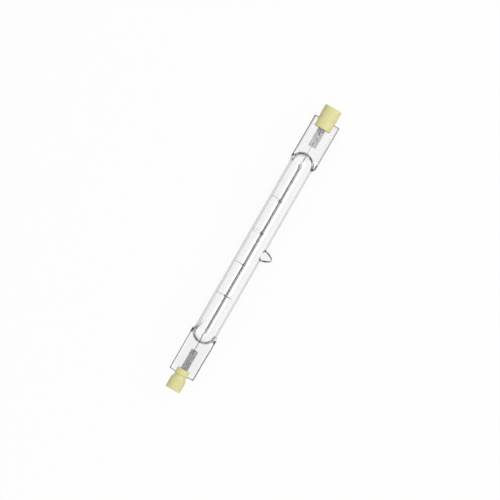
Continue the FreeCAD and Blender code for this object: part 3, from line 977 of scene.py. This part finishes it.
for side, sign in SIGN.items():
    foil_in, level = FOILS[side][0], LEAD_HEIGHT[side]
    knots = [(x, y, 0) for x, y in LEAD_BEFORE_GLASS[side]]
    knots.append((IN_GLASS[0], level, IN_GLASS[1]))
    knots += [(x, level, LEAD_ON_FOIL) for x in (foil_in, foil_in + WELD_LENGTH)]
    path = spline(knots, 10)
    thick, thin = LEAD_RADIUS[side]
    lead_radius = thick + (thin - thick) * ease(path[:, 0], LEAD_THINS_FROM, LEAD_THINS_TO)
    shape = sweep(path * [sign, 1, 1], lead_radius, 12, ALONG_Z)
    piece(f"inner_lead_wire_{side}", shape, INNER_LEAD, f"inner_lead_{side}")

# %% [markdown]
# The sleeves
#
# A short tungsten sleeve is pinched over each end of the coil and holds the lead in it. A
# bevelled cylinder would lack its soft swell, so a circle is carried along the axis, its radius a
# sine to the power 0.4: full in the middle and round at the ends.

# %% The sleeves
SLEEVES = {"left": (1.5, 0.06), "right": (2.3, 0.17)}
SLEEVE_RADIUS = 0.63

for side, sign in SIGN.items():
    length, swell = SLEEVES[side]
    s = np.linspace(0, 1, 26)
    place = FILAMENT_END[side] - length + length * s
    rise = LIFT * ease(place, LIFT_FROM, LIFT_TO) * (sign > 0)
    sleeve_radius = SLEEVE_RADIUS + swell * np.clip(np.sin(np.pi * s), 0, 1) ** 0.4
    sleeve_path = np.stack([sign * place, rise, 0 * s], -1)
    shape = sweep(sleeve_path, sleeve_radius, 20, ALONG_Z)
    piece(f"sleeve_{side}", shape, TUNGSTEN, f"end_sleeve_{side}")

# %% [markdown]
# The foils
#
# A molybdenum foil a few hundredths of a millimetre thick carries the current through each pinch.
# Quartz grows so little with heat that a wire would crack it, but it seals round so thin a sheet.
# A plane with Solidify would do, but two creased grids and the wall round them are closed by
# themselves.

# %% The foils
FOIL_HALF_THICK = 0.012
FOIL_MIDDLE = FOIL_TOP - 0.05
FOIL_ROWS, FOIL_COLUMNS = 90, 40


def creases(a, b, half):
    """Relief at (a, b): 0.018 sin(3.1 a + 0.8 b) cos(2.3 b + 0.5 a) + 0.01 sin(7.3 a), less near
    the long edges by 1 - (b / half)^8."""
    waves = 0.018 * np.sin(3.1 * a + 0.8 * b) * np.cos(2.3 * b + 0.5 * a) + 0.01 * np.sin(7.3 * a)
    return waves * (1 - (b / half) ** 8)


def border(rows, columns):
    """The numbers of a grid's outermost points, in order round it."""
    first = np.arange(rows) * columns
    last = (rows - 1) * columns + np.arange(1, columns)
    back = np.arange(rows - 1)[::-1] * columns + columns - 1
    return np.concatenate([first, last, back, np.arange(1, columns - 1)[::-1]])


def foil(start, stop, half, sign):
    """Two creased grids, half a thickness above and below the middle, and the wall round them."""
    a, b = np.linspace(start, stop, FOIL_ROWS), np.linspace(-half, half, FOIL_COLUMNS)
    a, b = np.meshgrid(a, b, indexing="ij")
    middle = FOIL_MIDDLE + creases(a, b, half)
    top = np.stack([sign * a, b, middle + FOIL_HALF_THICK], -1).reshape(-1, 3)
    bottom = np.stack([sign * a, b, middle - FOIL_HALF_THICK], -1).reshape(-1, 3)
    edge = border(FOIL_ROWS, FOIL_COLUMNS)
    after = np.roll(edge, -1)
    wall = np.stack([edge, after, after + len(top), edge + len(top)], -1)
    faces = [
        grid_faces(FOIL_ROWS, FOIL_COLUMNS, wrap_columns=False, flip=sign < 0),
        grid_faces(FOIL_ROWS, FOIL_COLUMNS, wrap_columns=False, flip=sign > 0, start=len(top)),
        wall[:, ::-1] if sign > 0 else wall,
    ]
    return np.concatenate([top, bottom]), faces


for side, sign in SIGN.items():
    piece(f"foil_sheet_{side}", foil(*FOILS[side], sign), FOIL[side], f"foil_{side}")

# %% [markdown]
# The outer leads
#
# A thicker wire runs from each foil through the cement to the contact. Its end is flattened and
# welded to the foil. A plain cylinder would end in a hard step, so the radius grows with the
# square root of the distance.

# %% The outer leads
OUTER_LEAD_RUN = {"left": (57.2, 69.1), "right": (57.2, 68.5)}
OUTER_LEAD_RADIUS = 0.3
OUTER_LEAD_HEIGHT = 0.15
OUTER_LEAD_ASIDE = {"left": -0.85, "right": 0.0}

for side, sign in SIGN.items():
    start, stop = OUTER_LEAD_RUN[side]
    run = np.linspace(start, stop, 40)
    aside = OUTER_LEAD_ASIDE[side] * (1 - ease(run, 60, 63))
    outer_path = np.stack([sign * run, aside, 0 * run + OUTER_LEAD_HEIGHT], -1)
    outer_radius = OUTER_LEAD_RADIUS * np.sqrt(np.clip((run - start + 0.05) / 0.5, 0.02, 1))
    shape = sweep(outer_path, outer_radius, 16, ALONG_Z)
    piece(f"outer_lead_wire_{side}", shape, OUTER_LEAD[side], f"outer_lead_{side}")

# %% [markdown]
# The caps: the turned shape
#
# A cap is a round ceramic barrel with a narrower neck and, on the pinch's side, two jaws. The
# die's small round corners catch the light, so the outline is a few corners, each with the radius
# of its arc, turned about the axis. A bevel on a turned polygon would round them all alike.

# %% Outline and turning
# Distances from the middle of the glass and radii of each cap, in millimetres.
CAPS = {
    "left": dict(inner=61.3, neck_from=63.7, neck_to=65.0, barrel_from=66.3, outer=71.3,
                 jaw=3.5, neck=2.86, barrel=3.52),
    "right": dict(inner=60.3, neck_from=64.5, neck_to=65.2, barrel_from=65.7, outer=70.7,
                  jaw=4.25, neck=3.92, barrel=4.035),
}
STEM_RADIUS, SEAT_RADIUS, RECESS_RADIUS = 1.1, 1.5, 2.0
RECESS_DEPTH, SEAT_DEPTH = 1.6, 2.2
ARC_STEPS = 6
TURN_STEPS = 120


def rounded(corners):
    """A closed outline through corners (x, y, radius), each corner replaced by an arc.

    The arc's centre lies on the line that halves the corner, radius / sin(half its angle) away,
    and it meets the edges radius / tan(half its angle) from the corner.
    """
    c = np.array([corner[:2] for corner in corners], float)
    radius = np.array([corner[2] for corner in corners], float)[:, None]
    a, b = unit(np.roll(c, 1, axis=0) - c), unit(np.roll(c, -1, axis=0) - c)
    opening = np.arccos(np.clip((a * b).sum(axis=1, keepdims=True), -1, 1))
    centre = c + unit(a + b) * radius / np.sin(opening / 2)
    back = radius / np.tan(opening / 2)
    start, stop = c + a * back - centre, c + b * back - centre
    s = np.linspace(0, 1, ARC_STEPS + 1)[None, :, None]
    arc = start[:, None] * (1 - s) + stop[:, None] * s
    arc = centre[:, None] + unit(arc) * radius[:, None]
    wanted = np.broadcast_to((radius > 0) | (np.arange(ARC_STEPS + 1) == 0), arc.shape[:2])
    return arc[wanted]


def turn_profile(profile):
    """A closed profile of (x, r) turned about the axis: (x, r cos(angle), r sin(angle))."""
    angle = np.linspace(0, 2 * np.pi, TURN_STEPS, endpoint=False)
    x = np.repeat(profile[:, :1], TURN_STEPS, 1)
    r = profile[:, 1:]
    points = np.stack([x, r * np.cos(angle), r * np.sin(angle)], -1).reshape(-1, 3)
    return points, [grid_faces(len(profile), TURN_STEPS, wrap_rows=True)]


def cap_outline(inner, neck_from, neck_to, barrel_from, outer, jaw, neck, barrel):
    """Corners of one cap from the jaws' face outwards, then back through the recess and the stem."""
    floor, seat = outer - RECESS_DEPTH, outer - SEAT_DEPTH
    return rounded([
        (inner, STEM_RADIUS, 0), (inner, jaw, 0.25), (neck_from, jaw, 0.15),
        (neck_from + 0.5, neck, 0.3), (neck_to, neck, 0.4), (barrel_from, barrel, 0.4),
        (outer, barrel, 0.18), (outer, RECESS_RADIUS, 0.1), (floor, RECESS_RADIUS, 0.1),
        (floor, SEAT_RADIUS, 0), (seat, SEAT_RADIUS, 0), (seat, STEM_RADIUS, 0),
    ])


print("outline of the left cap:", len(cap_outline(**CAPS["left"])), "points")

# %% [markdown]
# The caps: the slot
#
# The jaws are slotted to take the pinch. This is easiest as a boolean: its walls are flat and the
# ceramic hides the seam. A bevel with an angle limit softens the sharp edges that are left. Both
# work on a throwaway object, and the finished mesh is read back.

# %% The ceramic caps
SLOT_HALF = 1.75
SLOT_REACH = 6.0
EDGE_SOFTNESS = 0.14
SHARP_ABOVE = 35
BOX_SIDES = [(0, 1, 3, 2), (4, 6, 7, 5), (0, 4, 5, 1), (2, 3, 7, 6), (0, 2, 6, 4), (1, 5, 7, 3)]


def read(items, name, width=1):
    """One property of all vertices, corners or faces, width numbers each."""
    values = np.empty(len(items) * width, int if width == 1 else float)
    items.foreach_get(name, values)
    return values


def read_mesh(mesh):
    """Points, and faces grouped by their number of corners."""
    loops = read(mesh.loops, "vertex_index")
    starts, sizes = read(mesh.polygons, "loop_start"), read(mesh.polygons, "loop_total")
    groups = [loops[starts[sizes == size][:, None] + np.arange(size)] for size in np.unique(sizes)]
    return read(mesh.vertices, "co", 3).reshape(-1, 3), groups


def slotted(name, shape, x_low, x_high):
    """Cut the slot, |z| below its half, out of a turned shape, and soften the sharp edges left."""
    body = new_object(name, *shape)
    box = np.stack(np.meshgrid(
        (x_low, x_high), (-SLOT_REACH, SLOT_REACH), (-SLOT_HALF, SLOT_HALF), indexing="ij"), -1)
    tool = new_object(name + "_slot", box.reshape(-1, 3), [np.array(BOX_SIDES)])
    change(body.modifiers.new("slot", "BOOLEAN"), operation="DIFFERENCE", solver="EXACT", object=tool)
    change(body.modifiers.new("soft edges", "BEVEL"), width=EDGE_SOFTNESS, segments=3,
           limit_method="ANGLE", angle_limit=math.radians(50))
    graph = bpy.context.evaluated_depsgraph_get()
    finished = bpy.data.meshes.new_from_object(body.evaluated_get(graph))
    found = read_mesh(finished)
    for thing in (body, tool):
        data = thing.data
        bpy.data.objects.remove(thing)
        bpy.data.meshes.remove(data)
    bpy.data.meshes.remove(finished)
    return found


for side, cap in CAPS.items():
    sign = SIGN[side]
    barrel = turn_profile(cap_outline(**cap) * [sign, 1])
    x_low, x_high = sorted((sign * (cap["inner"] - 1), sign * (cap["neck_from"] + 0.05)))
    shape = slotted(f"cap_{side}", barrel, x_low, x_high)
    piece(f"ceramic_cap_{side}", shape, CERAMIC, f"cap_{side}", SHARP_ABOVE)

# %% [markdown]
# Cement and contacts
#
# The cement in each slot and the nickel button in each recess are plain shapes that the CAD holds
# exactly. A new surface would add nothing, so they only get a material.

# %% Materials for the CAD pieces that stay
KEPT = {"cement": CEMENT, "contact": CONTACT}

for kind, material in KEPT.items():
    for side in SIGN:
        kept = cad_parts[f"{kind}_{side}"].data.materials
        kept.clear()
        kept.append(material)
        print(f"{kind}_{side} is", material.name)

# %% [markdown]
# The table
#
# The lamp lies on a plain white table. White paint alone would render as grey, and more light
# would wash the lamp out. So the table glows only towards the camera, or towards a ray that comes
# back through glass or off metal. There its paint is dark, so that the two together stay just
# under white, and the shadow still shows. All other rays meet plain matt white.

# %% The table
scene = bpy.context.scene
TABLE_HALF = 0.9
SEEN_PAINT, SEEN_GLOW, PLAIN_PAINT = 0.075, 0.925, 0.8

white, tree, shader = new_material("white_table")
ray = add_node(tree, "LightPath", {})
seen = ray["Is Camera Ray"]
for kind in ("Is Transmission Ray", "Is Glossy Ray"):
    seen = add_node(tree, "Math", {0: seen, 1: ray[kind]}, operation="MAXIMUM")[0]
paints = {"Factor": seen, "A": (*[PLAIN_PAINT] * 3, 1), "B": (*[SEEN_PAINT] * 3, 1)}
fill_inputs(tree, shader, {
    "Base Color": add_node(tree, "Mix", paints, data_type="RGBA")["Result"],
    "Roughness": 1.0,
    "Specular IOR Level": 0.0,
    "Emission Color": (1, 1, 1, 1),
    "Emission Strength": multiply(tree, seen, SEEN_GLOW),
})

corners = np.array([(-1, -1, 0), (1, -1, 0), (1, 1, 0), (-1, 1, 0)]) * TABLE_HALF
new_object("table", corners, [np.array([(0, 1, 2, 3)])], white)
print("table", TABLE_HALF * 2, "m across")

# %% [markdown]
# The room
#
# Glass shows only what is round it, and in an evenly bright room it would vanish. So the room is
# darker low down, brighter above, and a bit brighter on the side that the tube's far edge bends
# to. Both hold for any view. An HDR picture would do the same, but its details would show in the
# quartz.

# %% The room
ROOM_LOW, ROOM_HIGH = 0.3, 0.76
DARK_SIDE, BRIGHT_SIDE = 0.66, 1.34

world = bpy.data.worlds.new("room")
world.use_nodes = True
tree = world.node_tree
ray = add_node(tree, "TexCoord", {})["Generated"]
height_of_ray = add_node(tree, "SeparateXYZ", {0: ray})["Z"]
by_height = blend_step(tree, height_of_ray, 0.0, 0.5, ROOM_LOW, ROOM_HIGH)
bright_way = (0, -math.cos(ROLL), -math.sin(ROLL))
sideways = add_node(tree, "VectorMath", {0: ray, 1: bright_way}, operation="DOT_PRODUCT")["Value"]
lean = {"Value": sideways, "From Min": -1, "To Min": DARK_SIDE, "To Max": BRIGHT_SIDE}
level = multiply(tree, by_height, add_node(tree, "MapRange", lean)["Result"])
fill_inputs(tree, tree.nodes["Background"], {"Color": grey(tree, level)})
scene.world = world
print("room from", ROOM_LOW, "near the horizon to", ROOM_HIGH, "above")

# %% [markdown]
# Soft light
#
# One large square lamp stands over the table and gives the shadow its soft edge. A small lamp
# would draw a hard bright line along the tube, and a sun would have the same shadow everywhere.

# %% Soft light
LIGHT_PLACE = Vector((0.3, -0.85, 0.7))
LIGHT_SIZE, LIGHT_WATTS = 0.9, 5.5

light = change(bpy.data.lights.new("overhead", "AREA"), size=LIGHT_SIZE, energy=LIGHT_WATTS)
overhead = change(bpy.data.objects.new("overhead", light), location=LIGHT_PLACE,
                  rotation_mode="QUATERNION",
                  rotation_quaternion=(-LIGHT_PLACE).to_track_quat("-Z", "Y"))
scene.collection.objects.link(overhead)
print("light", round(LIGHT_PLACE.length, 2), "m away")

# %% [markdown]
# Camera
#
# The photograph looks straight down on the flat pinches, along the lamp's own z, with hardly any
# perspective, so a long lens stands far off. In the picture the axis leans 60 degrees from the
# level, and one pixel of the 500 is 0.4386 mm. The distance is half the picture's width over the
# tangent of half the field of view.

# %% Camera
LEAN = math.radians(60.15)
MM_A_PIXEL = 0.4386
PICTURE = 500
OFF_CENTRE = (3.56, 1.62)
LENS, SENSOR = 200, 36

c, s = math.cos(ROLL), math.sin(ROLL)
lamp_x, lamp_y, lamp_z = Vector((1, 0, 0)), Vector((0, c, s)), Vector((0, -s, c))
right = math.cos(LEAN) * lamp_x - math.sin(LEAN) * lamp_y
up = math.sin(LEAN) * lamp_x + math.cos(LEAN) * lamp_y
pixel = MM_A_PIXEL / 1000
target = Vector(to_row([0, 0, 0])) - right * (OFF_CENTRE[0] * pixel) - up * (OFF_CENTRE[1] * pixel)
distance = PICTURE / 2 * pixel / (SENSOR / 2 / LENS)

camera_data = bpy.data.cameras.new("camera")
change(camera_data, lens=LENS, sensor_width=SENSOR, clip_start=0.01)
camera = bpy.data.objects.new("camera", camera_data)
scene.collection.objects.link(camera)
turn = Matrix((right, up, lamp_z)).transposed().to_4x4()
camera.matrix_world = Matrix.Translation(target + lamp_z * distance) @ turn
scene.camera = camera
scene.view_settings.view_transform = "Standard"
print("camera", round(distance, 3), "m from the lamp")
